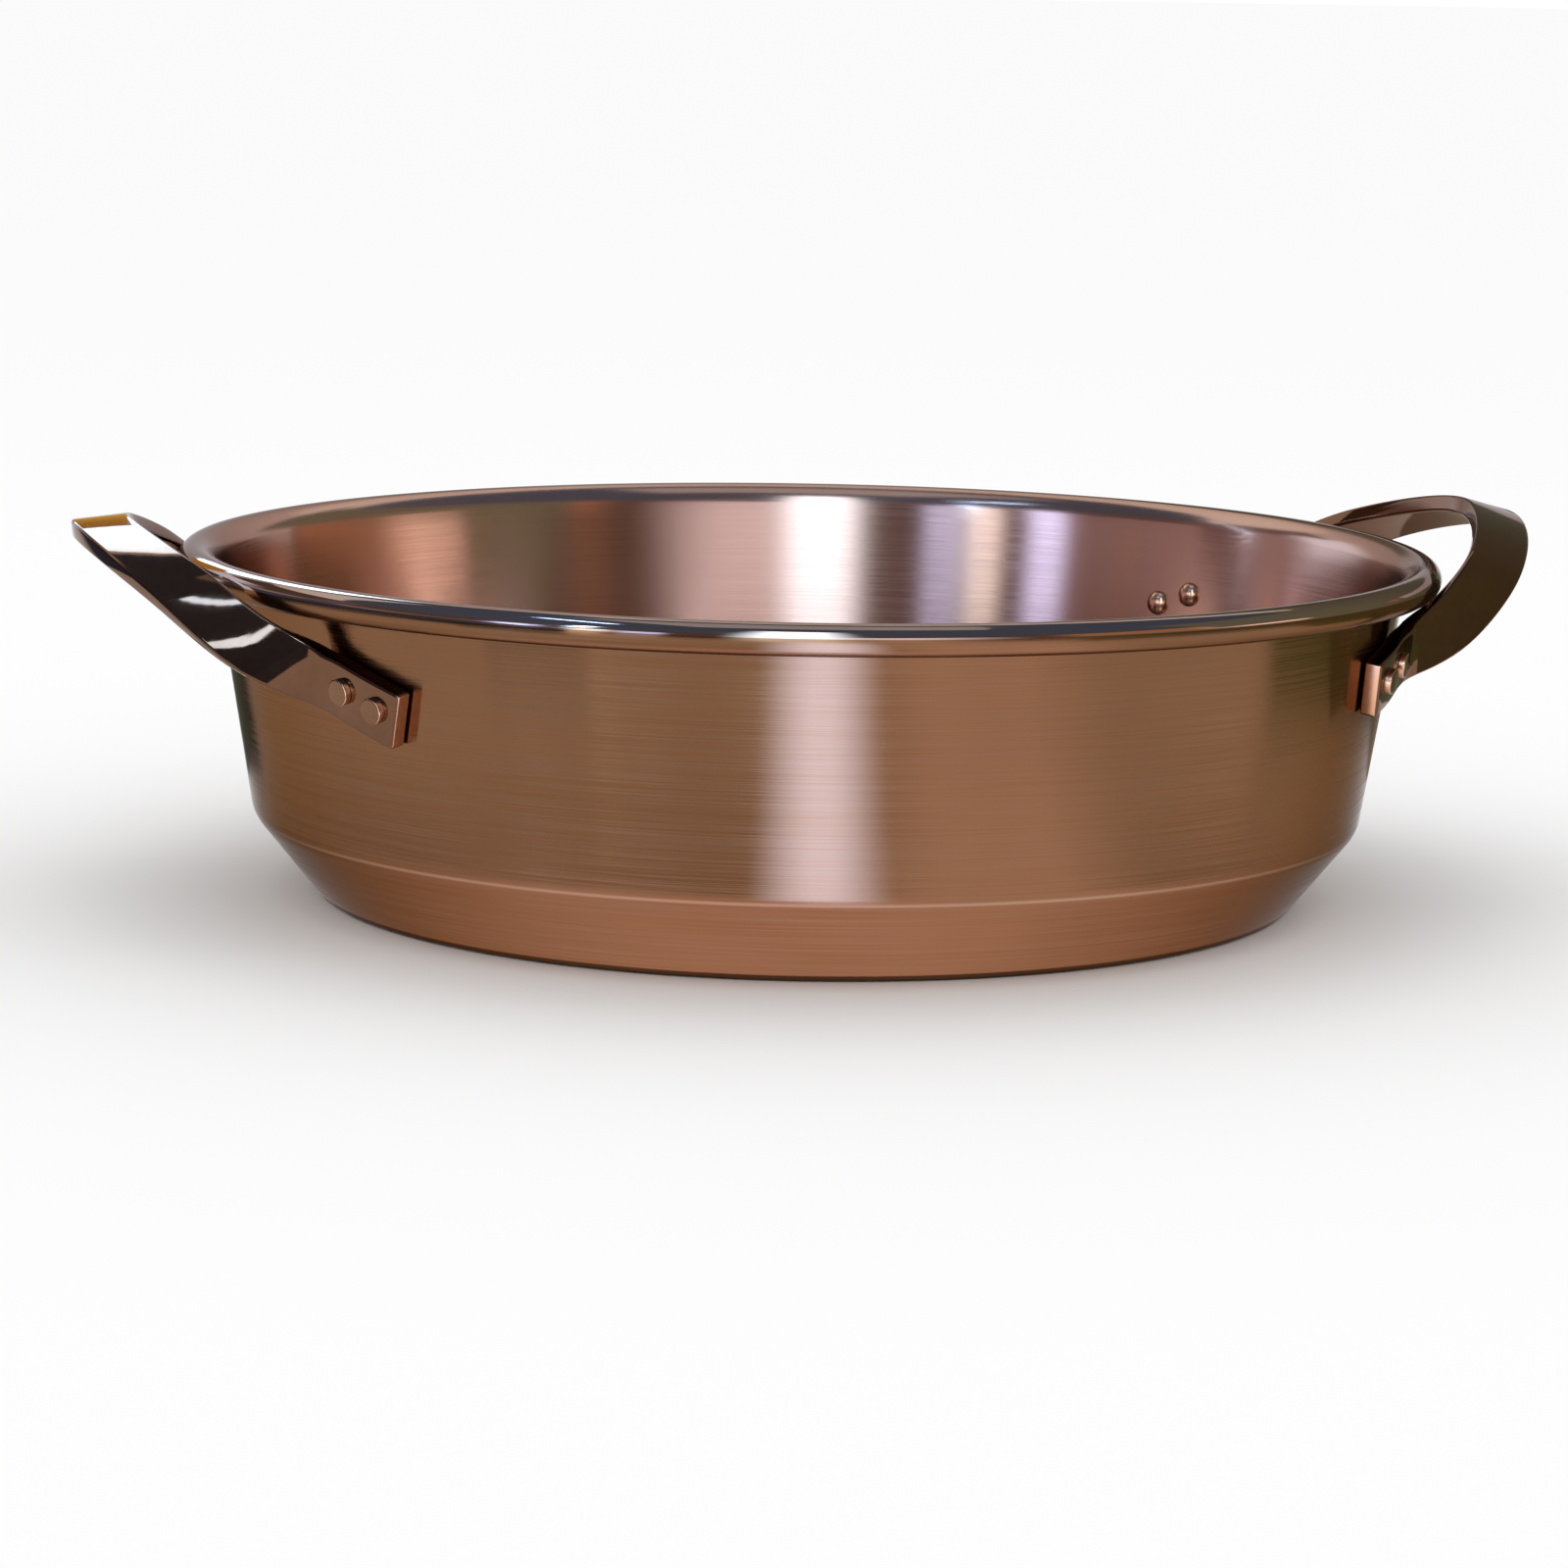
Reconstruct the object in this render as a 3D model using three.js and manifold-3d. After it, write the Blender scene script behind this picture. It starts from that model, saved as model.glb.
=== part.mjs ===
// A wide, shallow copper pan: a spun bowl with a wired rim and two riveted strap handles.
// Millimetres, +Z up. The origin is the middle of the base, and the handles face -X and +X.
import * as THREE from "three";
import { mergeVertices } from "three/addons/utils/BufferGeometryUtils.js";
import Module from "manifold-3d";

const wasm = await Module();
wasm.setup();

// Bowl: outside sizes of the spun shell
const rimDiameter = 460;
const panHeight = 127;
const sheet = 1.5;
const baseDiameter = 358; // where the base plane and the cone would meet
const chineDiameter = 406; // where the cone and the wall would meet
const chineHeight = 30;
const baseRadius = 5; // outside radius between base and cone
const chineRadius = 12; // outside radius between cone and wall
const rimOverhang = 11.7; // the rim's edge beyond the wall, level with the rim's top
const lipRadius = 8; // the wall's turn outward below the bead
const bowlSides = 64;
const bendSteps = 3; // in each bend of the profile

// Wire in the rolled edge
const wireRadius = 3.7;
const wireSides = 12;
const curlSteps = 16;
const curlEnd = 178; // degrees round the wire, from outward through up, where the rolled edge stops

// Strap handles
const strapWidth = 20.4;
const strapThickness = 6.5;
const strapEdge = 1.2; // bevel along the bar's corners
const footAngle = 37.6; // the foot's end, in degrees round the bowl from the handle's middle
const footDrop = 43; // the middle of the foot's end, below the rim's top
const footLength = 39;
const footRise = 17; // degrees that the foot climbs along the wall
const heelLift = 1.8; // how far the bar is off the wall where its foot ends and the loop starts
const rightFrontRaise = 5.5; // this foot is set higher than the other three
const rightFrontRise = 13.5; // and climbs less
const shoulderTurn = 4.4; // from the heel to the shoulder, in degrees round the bowl
const shoulderInset = 4; // how far the bar's inner edge goes in under the rim's edge
const shoulderLean = 62; // the bar's width above level, in degrees
const bowTurn = 7.6; // from the shoulder to the bow
const bowInset = 11.4; // the bow is this much nearer to the rim than the loop's middle
const bowLean = 24;
const spanSteps = 4; // sections between two places on the bar

// The loops are bent by hand: how far each one's middle stands beyond the rim's edge and above its top,
// the lean of the bar there, how far below the bead its shoulders pass, and how far up from foot to middle
// its bows are
const leftLoopReach = 28.3;
const leftLoopRise = 8.6;
const leftLoopLean = 6;
const leftShoulderGap = 4.1;
const leftBowShare = 0.735;
const rightLoopReach = 31;
const rightLoopRise = 10.5;
const rightLoopLean = 15;
const rightShoulderGap = 0.8;
const rightBowShare = 0.768;

// Rivets
const rivetEdge = 9.5; // from the foot's end to the first rivet
const rivetPitch = 16;
const rivetSet = 1.4; // above the middle of the bar's width
const shankRadius = 2.5;
const headRadius = 4.6;
const headHeight = 2.4;
const headBevel = 0.4;
const domeRadius = 4.8;
const domeHeight = 3.4;
const domeSteps = 4;
const rivetSides = 12;

// Clearances
const fit = 0.3; // between touching pieces
const holeClearance = 0.3; // round a rivet's shank

// Sizes that follow
const degrees = Math.PI / 180;
const rimRadius = rimDiameter / 2;
const beadRadius = wireRadius + fit + sheet;
const beadMiddle = beadRadius - sheet / 2;
const wallTopRadius = rimRadius - rimOverhang;
const chineEdge = chineDiameter / 2;
const wallLean = Math.atan((wallTopRadius - chineEdge) / (panHeight - chineHeight));
const facetDrop = wallTopRadius * (1 - Math.cos(Math.PI / bowlSides));
const holeRadius = shankRadius + holeClearance;
const flatLength = rivetEdge + rivetPitch + headRadius; // the foot lies on the wall until past its second rivet

// The outside of the wall at a height
function wallRadius(height) {
  return chineEdge + (height - chineHeight) * Math.tan(wallLean);
}

// A point on the cylinder coordinates of the bowl
function polar(radius, azimuth, height) {
  return new THREE.Vector3(radius * Math.cos(azimuth), radius * Math.sin(azimuth), height);
}

// The direction straight out of the wall
function wallNormal(azimuth) {
  return polar(Math.cos(wallLean), azimuth, -Math.sin(wallLean));
}

// Points of an arc about a centre, from one angle to another
function arc(centre, radius, from, to, steps) {
  const points = [];
  for (let i = 0; i <= steps; i += 1) {
    const angle = from + ((to - from) * i) / steps;
    const turn = new THREE.Vector2(Math.cos(angle), Math.sin(angle));
    points.push(turn.multiplyScalar(radius).add(centre));
  }
  return points;
}

// A closed solid for cutting, from a geometry with shared corners and no empty triangles
function solid(geometry) {
  const bare = new THREE.BufferGeometry();
  bare.setAttribute("position", geometry.getAttribute("position"));
  bare.setIndex(geometry.getIndex());
  const merged = mergeVertices(bare, 1e-4);
  const index = merged.getIndex().array;
  const triangles = [];
  for (let i = 0; i < index.length; i += 3) {
    const [a, b, c] = index.slice(i, i + 3);
    if (a !== b && b !== c && c !== a) {
      triangles.push(a, b, c);
    }
  }
  const vertProperties = Float32Array.from(merged.getAttribute("position").array);
  const triVerts = Uint32Array.from(triangles);
  return new wasm.Manifold(new wasm.Mesh({ numProp: 3, vertProperties, triVerts }));
}

// A cut solid back as a geometry
function geometryOf(body) {
  const mesh = body.getMesh();
  const geometry = new THREE.BufferGeometry();
  geometry.setAttribute("position", new THREE.BufferAttribute(mesh.vertProperties, 3));
  geometry.setIndex(new THREE.BufferAttribute(mesh.triVerts, 1));
  geometry.computeVertexNormals();
  return geometry;
}

// A lathe turned about Z instead of Y. The profile runs with the metal on its left.
function turned(profile, sides) {
  const geometry = new THREE.LatheGeometry(profile, sides);
  geometry.rotateX(Math.PI / 2);
  return geometry;
}

const copper = { color: 0xb5764f, metalness: 1 };
const bowlFinish = new THREE.MeshStandardMaterial({ ...copper, roughness: 0.24 });
const wireFinish = new THREE.MeshStandardMaterial({ color: 0x8f8d88, metalness: 1, roughness: 0.5 });
const strapFinish = new THREE.MeshStandardMaterial({ ...copper, roughness: 0.12 });
const rivetFinish = new THREE.MeshStandardMaterial({ ...copper, roughness: 0.2 });

// The bowl's profile: the middle of the sheet, as lines joined by arcs
const beadCentre = new THREE.Vector2(rimRadius - beadRadius, panHeight - beadRadius);

// The corner of two lines of the sheet's middle, from the corner of the outside and the two lines' normals
function middleCorner(corner, normalA, normalB) {
  const offset = sheet / 2 / (1 + normalA.dot(normalB));
  return normalA.clone().add(normalB).multiplyScalar(-offset).add(corner);
}

const coneRun = new THREE.Vector2(chineEdge - baseDiameter / 2, chineHeight).normalize();
const wallRun = new THREE.Vector2(Math.sin(wallLean), Math.cos(wallLean));
const down = new THREE.Vector2(0, -1);
const coneOut = new THREE.Vector2(coneRun.y, -coneRun.x);
const wallOut = new THREE.Vector2(wallRun.y, -wallRun.x);
const baseCorner = middleCorner(new THREE.Vector2(baseDiameter / 2, 0), down, coneOut);
const chineCorner = middleCorner(new THREE.Vector2(chineEdge, chineHeight), coneOut, wallOut);

// An arc that rounds a corner between two runs: its centre is inside the bowl where the profile turns inward
function roundedCorner(corner, outA, outB, radius, steps) {
  const turn = Math.atan2(outA.cross(outB), outA.dot(outB));
  const side = turn < 0 ? -1 : 1;
  const reach = (side * radius) / (1 + outA.dot(outB));
  const centre = outA.clone().add(outB).multiplyScalar(-reach).add(corner);
  const from = outA.clone().multiplyScalar(side).angle();
  return arc(centre, radius, from, from + turn, steps);
}

// The lip's arc touches the wall and the bead: its centre lies off the wall by its radius
function lipCentre() {
  const across = beadCentre.clone().sub(chineCorner).dot(wallOut);
  const along = beadCentre.clone().sub(chineCorner).dot(wallRun);
  const side = lipRadius - across;
  const back = Math.sqrt((lipRadius - beadMiddle) ** 2 - side ** 2);
  return chineCorner
    .clone()
    .addScaledVector(wallOut, lipRadius)
    .addScaledVector(wallRun, along - back);
}

const lip = lipCentre();
const lipStart = wallOut.clone().negate().angle();
const lipTurn = beadCentre.clone().sub(lip).angle();
const curlStop = (curlEnd - 360) * degrees;

// The same path moved sideways: out of the bowl for a positive offset
function sheetFace(offset) {
  const base = roundedCorner(baseCorner, down, coneOut, baseRadius - sheet / 2, bendSteps);
  const chine = roundedCorner(chineCorner, coneOut, wallOut, chineRadius - sheet / 2, bendSteps);
  const turn = arc(lip, lipRadius, lipStart, lipTurn, bendSteps);
  const curl = arc(beadCentre, beadMiddle, lipTurn, curlStop, curlSteps).slice(1);
  const path = [new THREE.Vector2(0, sheet / 2), ...base, ...chine, ...turn, ...curl];
  return path.map((point, i) => {
    const before = path[Math.max(i - 1, 0)];
    const after = path[Math.min(i + 1, path.length - 1)];
    const forward = after.clone().sub(before).normalize();
    const out = i === 0 ? down : new THREE.Vector2(forward.y, -forward.x);
    return point.clone().addScaledVector(out, offset);
  });
}

// Handles: which way each faces, its loop, and each foot's lift and slope. The front is the -Y side.
const handles = [
  {
    name: "left",
    facing: Math.PI,
    loop: { reach: leftLoopReach, rise: leftLoopRise, lean: leftLoopLean },
    shoulderGap: leftShoulderGap,
    bowShare: leftBowShare,
    feet: [{ name: "back", raise: 0, rise: footRise }, { name: "front", raise: 0, rise: footRise }],
  },
  {
    name: "right",
    facing: 0,
    loop: { reach: rightLoopReach, rise: rightLoopRise, lean: rightLoopLean },
    shoulderGap: rightShoulderGap,
    bowShare: rightBowShare,
    feet: [
      { name: "front", raise: rightFrontRaise, rise: rightFrontRise },
      { name: "back", raise: 0, rise: footRise },
    ],
  },
];

// The height of a level foot's middle, and the places round the bowl where the bar leaves the wall and bends
const footLevel = panHeight - footDrop;
const footSpan = (footLength * Math.cos(footRise * degrees)) / wallRadius(footLevel) / degrees;
const shoulderAngle = footAngle - footSpan - shoulderTurn;
const bowAngle = shoulderAngle - bowTurn;

// The foot on one side of a handle: -1 where the bar starts, 1 where it ends
function footOf(handle, side) {
  return handle.feet[side < 0 ? 0 : 1];
}

// A place on a foot, by its distance along the bar from the end and its distance above the middle of the width
function footPlace(handle, side, along, above) {
  const foot = footOf(handle, side);
  const rise = Math.sin(foot.rise * degrees);
  const level = Math.cos(foot.rise * degrees);
  const height = footLevel + foot.raise + along * rise + above * level;
  const run = (along * level - above * rise) / wallRadius(height);
  return { azimuth: handle.facing + side * (footAngle * degrees - run), height };
}

// The bar's middle and the direction of its width, on a foot
function footKnot(handle, side, along, lift) {
  const { azimuth, height } = footPlace(handle, side, along, 0);
  const off = (fit + lift + strapThickness / 2) / Math.cos(wallLean);
  const rise = footOf(handle, side).rise * degrees;
  const forward = polar(Math.cos(rise), azimuth + Math.PI / 2, -side * Math.sin(rise));
  const width = wallNormal(azimuth).cross(forward).normalize();
  return { middle: polar(wallRadius(height) + off, azimuth, height), width };
}

// The same on the loop, from its distance to the rim's edge, its height and the lean of its width
function loopKnot(handle, side, angle, out, height, lean) {
  const azimuth = handle.facing + side * angle * degrees;
  const width = polar(-Math.cos(lean * degrees), azimuth, Math.sin(lean * degrees));
  return { middle: polar(rimRadius + out, azimuth, height), width };
}

// How far the bar's upper inner edge lies inward of its middle, and above it
function innerEdge(lean) {
  const flat = Math.cos(lean * degrees) / 2;
  const steep = Math.sin(lean * degrees) / 2;
  return { inward: strapWidth * flat + strapThickness * steep, above: strapWidth * steep - strapThickness * flat };
}

// The places that the bar passes on one side, from the end of its foot towards the loop's middle
function legKnots(handle, side) {
  const foot = [0, 0.5, 1].map((share) => footKnot(handle, side, flatLength * share, 0));
  const heel = footKnot(handle, side, footLength, heelLift);
  const edge = innerEdge(shoulderLean);
  const shoulderOut = edge.inward - shoulderInset;
  const shoulderHeight = panHeight - 2 * beadRadius - handle.shoulderGap - edge.above;
  const bowOut = handle.loop.reach - bowInset;
  const bowHeight = footLevel + (panHeight + handle.loop.rise - footLevel) * handle.bowShare;
  const shoulder = loopKnot(handle, side, shoulderAngle, shoulderOut, shoulderHeight, shoulderLean);
  const bow = loopKnot(handle, side, bowAngle, bowOut, bowHeight, bowLean);
  return [...foot, heel, shoulder, bow];
}

// The bar's bevelled section, as shares of its width and thickness directions
function strapSection() {
  const a = strapWidth / 2;
  const b = strapThickness / 2;
  const e = strapEdge;
  return [
    [a, b - e], [a - e, b], [e - a, b], [-a, b - e],
    [-a, e - b], [e - a, -b], [a - e, -b], [a, e - b],
  ];
}

// The bar lofted between the two rails that its edges follow
function strapGeometry(handle) {
  const { reach, rise, lean } = handle.loop;
  const middle = loopKnot(handle, 1, 0, reach, panHeight + rise, lean);
  const knots = [...legKnots(handle, -1), middle, ...legKnots(handle, 1).reverse()];
  const rail = (sign) =>
    new THREE.CatmullRomCurve3(
      knots.map((knot) => knot.middle.clone().addScaledVector(knot.width, (sign * strapWidth) / 2)),
    );
  const upper = rail(1);
  const lower = rail(-1);
  const steps = (knots.length - 1) * spanSteps;
  const centres = [];
  const widths = [];
  for (let i = 0; i <= steps; i += 1) {
    const high = upper.getPoint(i / steps);
    const low = lower.getPoint(i / steps);
    centres.push(high.clone().add(low).multiplyScalar(0.5));
    widths.push(high.sub(low).normalize());
  }
  const section = strapSection();
  const corners = [];
  centres.forEach((centre, i) => {
    const before = centres[Math.max(i - 1, 0)];
    const after = centres[Math.min(i + 1, steps)];
    const forward = after.clone().sub(before).normalize();
    const normal = forward.clone().cross(widths[i]).normalize();
    const width = normal.clone().cross(forward);
    for (const [across, through] of section) {
      corners.push(centre.clone().addScaledVector(width, across).addScaledVector(normal, through));
    }
  });
  const count = section.length;
  const faces = [];
  for (let i = 0; i < steps; i += 1) {
    for (let j = 0; j < count; j += 1) {
      const a = i * count + j;
      const b = i * count + ((j + 1) % count);
      faces.push(a, b, b + count, a, b + count, a + count);
    }
  }
  const last = steps * count;
  for (let j = 1; j < count - 1; j += 1) {
    faces.push(0, j + 1, j, last, last + j, last + j + 1);
  }
  const geometry = new THREE.BufferGeometry().setFromPoints(corners);
  geometry.setIndex(faces);
  return geometry;
}

// Where the rivets go: on the wall's outside, along its normal
const rivets = [];
for (const handle of handles) {
  for (const side of [-1, 1]) {
    ["low", "high"].forEach((place, i) => {
      const { azimuth, height } = footPlace(handle, side, rivetEdge + rivetPitch * i, rivetSet);
      const foot = footOf(handle, side).name;
      const normal = wallNormal(azimuth);
      const turn = new THREE.Quaternion().setFromUnitVectors(new THREE.Vector3(0, 1, 0), normal);
      const position = polar(wallRadius(height), azimuth, height);
      rivets.push({ name: `${handle.name}_${foot}_${place}_rivet`, handle, position, turn });
    });
  }
}

// A drill through wall and bar at a rivet
function drill(rivet) {
  const length = 2 * (strapThickness + sheet + headHeight);
  const geometry = new THREE.CylinderGeometry(holeRadius, holeRadius, length, rivetSides);
  geometry.applyQuaternion(rivet.turn);
  geometry.translate(...rivet.position.toArray());
  return solid(geometry);
}

// A rivet: dome inside, shank through wall and bar, flat head outside
function rivetGeometry() {
  const domeBase = -(sheet + fit + facetDrop);
  const headBase = fit + strapThickness + fit;
  const profile = [];
  for (let i = 0; i <= domeSteps; i += 1) {
    const angle = (Math.PI / 2) * (i / domeSteps);
    profile.push(new THREE.Vector2(domeRadius * Math.sin(angle), domeBase - domeHeight * Math.cos(angle)));
  }
  profile.push(new THREE.Vector2(shankRadius, domeBase));
  profile.push(new THREE.Vector2(shankRadius, headBase));
  profile.push(new THREE.Vector2(headRadius, headBase));
  profile.push(new THREE.Vector2(headRadius, headBase + headHeight - headBevel));
  profile.push(new THREE.Vector2(headRadius - headBevel, headBase + headHeight));
  profile.push(new THREE.Vector2(0, headBase + headHeight));
  return new THREE.LatheGeometry(profile, rivetSides);
}

const drills = rivets.map(drill);
const pan = new THREE.Group();

function add(name, geometry, material) {
  const mesh = new THREE.Mesh(geometry, material);
  mesh.name = name;
  pan.add(mesh);
  return mesh;
}

// Bowl
const outside = sheetFace(sheet / 2);
const inside = sheetFace(-sheet / 2).reverse();
const shell = solid(turned([...outside, ...inside], bowlSides));
add("bowl", geometryOf(drills.reduce((body, hole) => body.subtract(hole), shell)), bowlFinish);

// Rim wire
const wireLoop = arc(beadCentre, wireRadius, 0, 2 * Math.PI, wireSides);
add("rim_wire", turned(wireLoop, bowlSides), wireFinish);

// Handles
for (const handle of handles) {
  const holes = drills.filter((hole, i) => rivets[i].handle === handle);
  const bar = holes.reduce((body, hole) => body.subtract(hole), solid(strapGeometry(handle)));
  add(`${handle.name}_handle`, geometryOf(bar), strapFinish);
}

// Rivets
for (const rivet of rivets) {
  const mesh = add(rivet.name, rivetGeometry(), rivetFinish);
  mesh.position.copy(rivet.position);
  mesh.quaternion.copy(rivet.turn);
}

export default pan;
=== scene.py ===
# A wide, shallow copper pan with two riveted strap handles, dressed over its CAD frame. Metres, +Z up.
import math

import bmesh
import bpy
from mathutils import Euler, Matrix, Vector


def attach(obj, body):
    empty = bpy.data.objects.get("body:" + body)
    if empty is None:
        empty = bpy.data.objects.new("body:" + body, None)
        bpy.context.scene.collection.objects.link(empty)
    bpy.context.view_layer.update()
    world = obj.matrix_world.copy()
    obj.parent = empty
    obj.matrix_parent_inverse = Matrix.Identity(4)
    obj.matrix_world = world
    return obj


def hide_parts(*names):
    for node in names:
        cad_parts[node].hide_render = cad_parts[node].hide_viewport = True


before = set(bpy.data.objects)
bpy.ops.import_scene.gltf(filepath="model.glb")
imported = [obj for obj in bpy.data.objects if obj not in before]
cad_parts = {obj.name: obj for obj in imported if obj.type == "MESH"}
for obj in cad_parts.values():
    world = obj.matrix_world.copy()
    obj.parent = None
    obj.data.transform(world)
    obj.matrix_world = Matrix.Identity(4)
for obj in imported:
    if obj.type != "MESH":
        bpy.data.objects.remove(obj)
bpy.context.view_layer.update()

# The bowl
# One disc of copper sheet, spun up over a form: flat base, cone, flared wall, and an edge rolled outward
# round a wire. The outside is brushed round and round, the inside is satin and the bead is polished.
MM = 0.001
sheet = 1.5 * MM
rim_radius = 230 * MM
pan_height = 127 * MM
base_edge = 179 * MM  # where base and cone would meet
chine_edge = 203 * MM  # where cone and wall would meet
chine_height = 30 * MM
base_bend = 5 * MM
chine_bend = 12 * MM
wall_top = 218.3 * MM  # the wall's outside, level with the rim's top
lip_bend = 8 * MM
bead_radius = 5.5 * MM
curl_stop = math.radians(178 - 360)  # round the wire, from outward through up
round_steps = 192
base_steps = 6
cone_steps = 5
chine_steps = 10
wall_steps = 14
lip_steps = 8
curl_steps = 32

wall_lean = math.atan((wall_top - chine_edge) / (pan_height - chine_height))
bead_middle = bead_radius - sheet / 2
bead_centre = Vector((rim_radius - bead_radius, pan_height - bead_radius))
cone_run = Vector((chine_edge - base_edge, chine_height)).normalized()
wall_run = Vector((math.sin(wall_lean), math.cos(wall_lean)))
down = Vector((0, -1))
cone_out = Vector((cone_run.y, -cone_run.x))
wall_out = Vector((wall_run.y, -wall_run.x))


def angle_of(direction):
    return math.atan2(direction.y, direction.x)


# Points of an arc about a centre
def arc(centre, radius, start, stop, steps):
    points = []
    for i in range(steps + 1):
        angle = start + (stop - start) * i / steps
        points.append(centre + radius * Vector((math.cos(angle), math.sin(angle))))
    return points


# The points that split a straight run into even steps, without its ends
def between(start, stop, steps):
    return [start.lerp(stop, i / steps) for i in range(1, steps)]


# The corner of the sheet's middle, from the corner of its outside
def middle_corner(corner, out_a, out_b):
    return corner - (out_a + out_b) * (sheet / 2 / (1 + out_a.dot(out_b)))


# The bend of the sheet's middle at a corner between two runs
def bend(corner, out_a, out_b, radius, steps):
    centre = corner - (out_a + out_b) * (radius / (1 + out_a.dot(out_b)))
    return arc(centre, radius, angle_of(out_a), angle_of(out_b), steps)


base_corner = middle_corner(Vector((base_edge, 0)), down, cone_out)
chine_corner = middle_corner(Vector((chine_edge, chine_height)), cone_out, wall_out)
bead_offset = bead_centre - chine_corner
lip_side = lip_bend - bead_offset.dot(wall_out)
lip_back = math.sqrt((lip_bend - bead_middle) ** 2 - lip_side ** 2)
lip_centre = chine_corner + wall_out * lip_bend + wall_run * (bead_offset.dot(wall_run) - lip_back)
lip_turn = angle_of(bead_centre - lip_centre)

base_arc = bend(base_corner, down, cone_out, base_bend - sheet / 2, base_steps)
chine_arc = bend(chine_corner, cone_out, wall_out, chine_bend - sheet / 2, chine_steps)
lip_arc = arc(lip_centre, lip_bend, angle_of(-wall_out), lip_turn, lip_steps)
curl_arc = arc(bead_centre, bead_middle, lip_turn, curl_stop, curl_steps)[1:]
cone_rings = between(base_arc[-1], chine_arc[0], cone_steps)
wall_rings = between(chine_arc[-1], lip_arc[0], wall_steps)
bowl_rings = base_arc + cone_rings + chine_arc + wall_rings + lip_arc + curl_arc


# Selects the edges or faces that pass a test, and nothing else
def pick(kind, wanted):
    bpy.ops.mesh.select_mode(type=kind)
    bpy.ops.mesh.select_all(action="DESELECT")
    mesh = bpy.context.object.data
    shape = bmesh.from_edit_mesh(mesh)
    items = {"EDGE": shape.edges, "FACE": shape.faces}[kind]
    for item in items:
        if wanted(item):
            item.select_set(True)
    shape.select_flush_mode()
    bmesh.update_edit_mesh(mesh)


# Draws the selected edge up through rings about Z, as a spinner works a disc
def draw_up(rings):
    for before, after in zip(rings, rings[1:]):
        rise = after.y - before.y
        grow = after.x / before.x
        bpy.ops.mesh.extrude_edges_move(TRANSFORM_OT_translate={"value": (0, 0, rise)})
        bpy.ops.transform.resize(value=(grow, grow, 1), center_override=(0, 0, 0))


# Adds a modifier to the active piece and applies it
def apply_modifier(kind, **settings):
    modifier = bpy.context.object.modifiers.new(kind.lower(), kind)
    for name, value in settings.items():
        setattr(modifier, name, value)
    bpy.ops.object.modifier_apply(modifier=modifier.name)


# Names the active piece and puts its place into its mesh
def keep_as(name):
    piece = bpy.context.object
    piece.name = name
    piece.data.name = name
    bpy.ops.object.transform_apply(location=True, rotation=True, scale=True)
    return piece


bpy.ops.object.select_all(action="DESELECT")
bpy.ops.mesh.primitive_circle_add(
    vertices=round_steps, radius=bowl_rings[0].x, fill_type="TRIFAN", location=(0, 0, bowl_rings[0].y)
)
bowl = keep_as("copper_bowl")
bpy.ops.object.mode_set(mode="EDIT")
pick("EDGE", lambda edge: edge.is_boundary)
draw_up(bowl_rings)
bpy.ops.mesh.select_all(action="SELECT")
bpy.ops.mesh.normals_make_consistent(inside=False)
bpy.ops.object.mode_set(mode="OBJECT")
apply_modifier("SOLIDIFY", thickness=sheet, offset=0, use_even_offset=True, use_quality_normals=True)


# A socket of a material: arithmetic on it adds Math nodes, and node() adds any other node
class Wire:
    def __init__(self, tree, socket=None):
        self.tree = tree
        self.socket = socket

    def node(self, kind, settings, inputs, output=0):
        made = self.tree.nodes.new(kind)
        for name, value in settings.items():
            setattr(made, name, value)
        for name, value in inputs.items():
            if isinstance(value, Wire):
                self.tree.links.new(value.socket, made.inputs[name])
            else:
                made.inputs[name].default_value = value
        return Wire(self.tree, made.outputs[output] if made.outputs else None)

    def maths(self, operation, a, b):
        return self.node("ShaderNodeMath", {"operation": operation}, {0: a, 1: b})

    def __add__(self, other):
        return self.maths("ADD", self, other)

    def __radd__(self, other):
        return self.maths("ADD", other, self)

    def __sub__(self, other):
        return self.maths("SUBTRACT", self, other)

    def __rsub__(self, other):
        return self.maths("SUBTRACT", other, self)

    def __mul__(self, other):
        return self.maths("MULTIPLY", self, other)

    def __rmul__(self, other):
        return self.maths("MULTIPLY", other, self)

    def __pow__(self, other):
        return self.maths("POWER", self, other)


# An empty material and the start of its wires
def new_material(name):
    material = bpy.data.materials.new(name)
    material.use_nodes = True
    material.node_tree.nodes.clear()
    return material, Wire(material.node_tree)


# The surface of a material, with these values or links in its sockets
def add_surface(start, inputs):
    surface = start.node("ShaderNodeBsdfPrincipled", {}, inputs)
    start.node("ShaderNodeOutputMaterial", {}, {"Surface": surface})


# The place on the piece
def piece_place(start):
    return start.node("ShaderNodeTexCoord", {}, {}, "Object")


# A place split into its axes
def axes_of(place):
    split = place.node("ShaderNodeSeparateXYZ", {}, {"Vector": place})
    return [Wire(split.tree, split.socket.node.outputs[axis]) for axis in "XYZ"]


# Noise between 0 and 1
def noise(at, scale, detail):
    return at.node("ShaderNodeTexNoise", {}, {"Vector": at, "Scale": scale, "Detail": detail})


# Noise drawn out into rings about the pan's axis
def ring_noise(x, y, along, round_scale, along_scale, detail):
    inputs = {"X": x * round_scale, "Y": y * round_scale, "Z": along * along_scale}
    return noise(along.node("ShaderNodeCombineXYZ", {}, inputs), scale=1, detail=detail)


# Noise as a swing to both sides of zero
def swing(value, amount):
    return (value - 0.5) * amount


# A value stretched so that low is 0 and high is 1, and cut off there
def stretch(value, low, high):
    return value.node("ShaderNodeMapRange", {}, {"Value": value, "From Min": low, "From Max": high})


mix_amount = 0  # where a Mix node has its sockets for colours
mix_first = 6
mix_second = 7
mix_result = 2


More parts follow.
